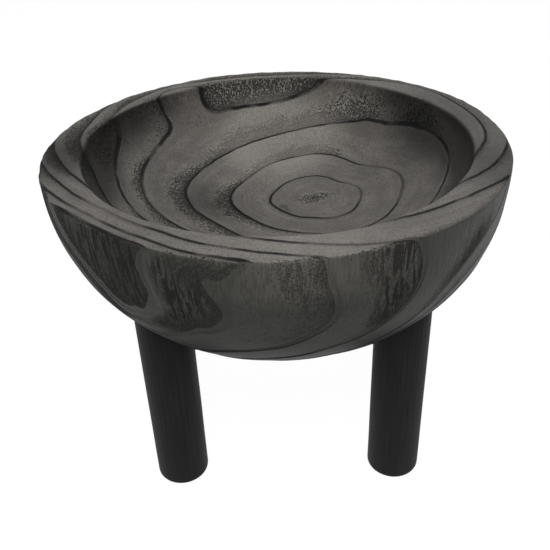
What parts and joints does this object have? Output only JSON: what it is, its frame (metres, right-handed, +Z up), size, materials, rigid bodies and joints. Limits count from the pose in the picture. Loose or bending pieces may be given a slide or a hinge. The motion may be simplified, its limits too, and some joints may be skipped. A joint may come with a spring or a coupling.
{
  "type": "footed wooden bowl",
  "caption": "Thick round bowl hollowed from a single block of dark scorched timber, with a shallow well, a broad flat rim and turned legs.",
  "frame": {"origin": "on the table, under the middle of the bowl", "axes": "+Z up along the bowl's axis of symmetry, -Y to the front pair of legs, +X to the right"},
  "size_m": [0.3, 0.3, 0.217],
  "materials": {
    "scorched_paulownia": "scorched and wire-brushed, waxed to a low sheen",
    "black_stained_leg": "turned, stained black, satin",
    "plain_beech": "plain, unfinished, hidden in the joint"
  },
  "bodies": {
    "root": {"bowl": "scorched_paulownia", "leg_front_left": "black_stained_leg", "leg_front_right": "black_stained_leg", "leg_rear_left": "black_stained_leg", "leg_rear_right": "black_stained_leg", "dowel_front_left": "plain_beech", "dowel_front_right": "plain_beech", "dowel_rear_left": "plain_beech", "dowel_rear_right": "plain_beech"}
  },
  "joints": []
}
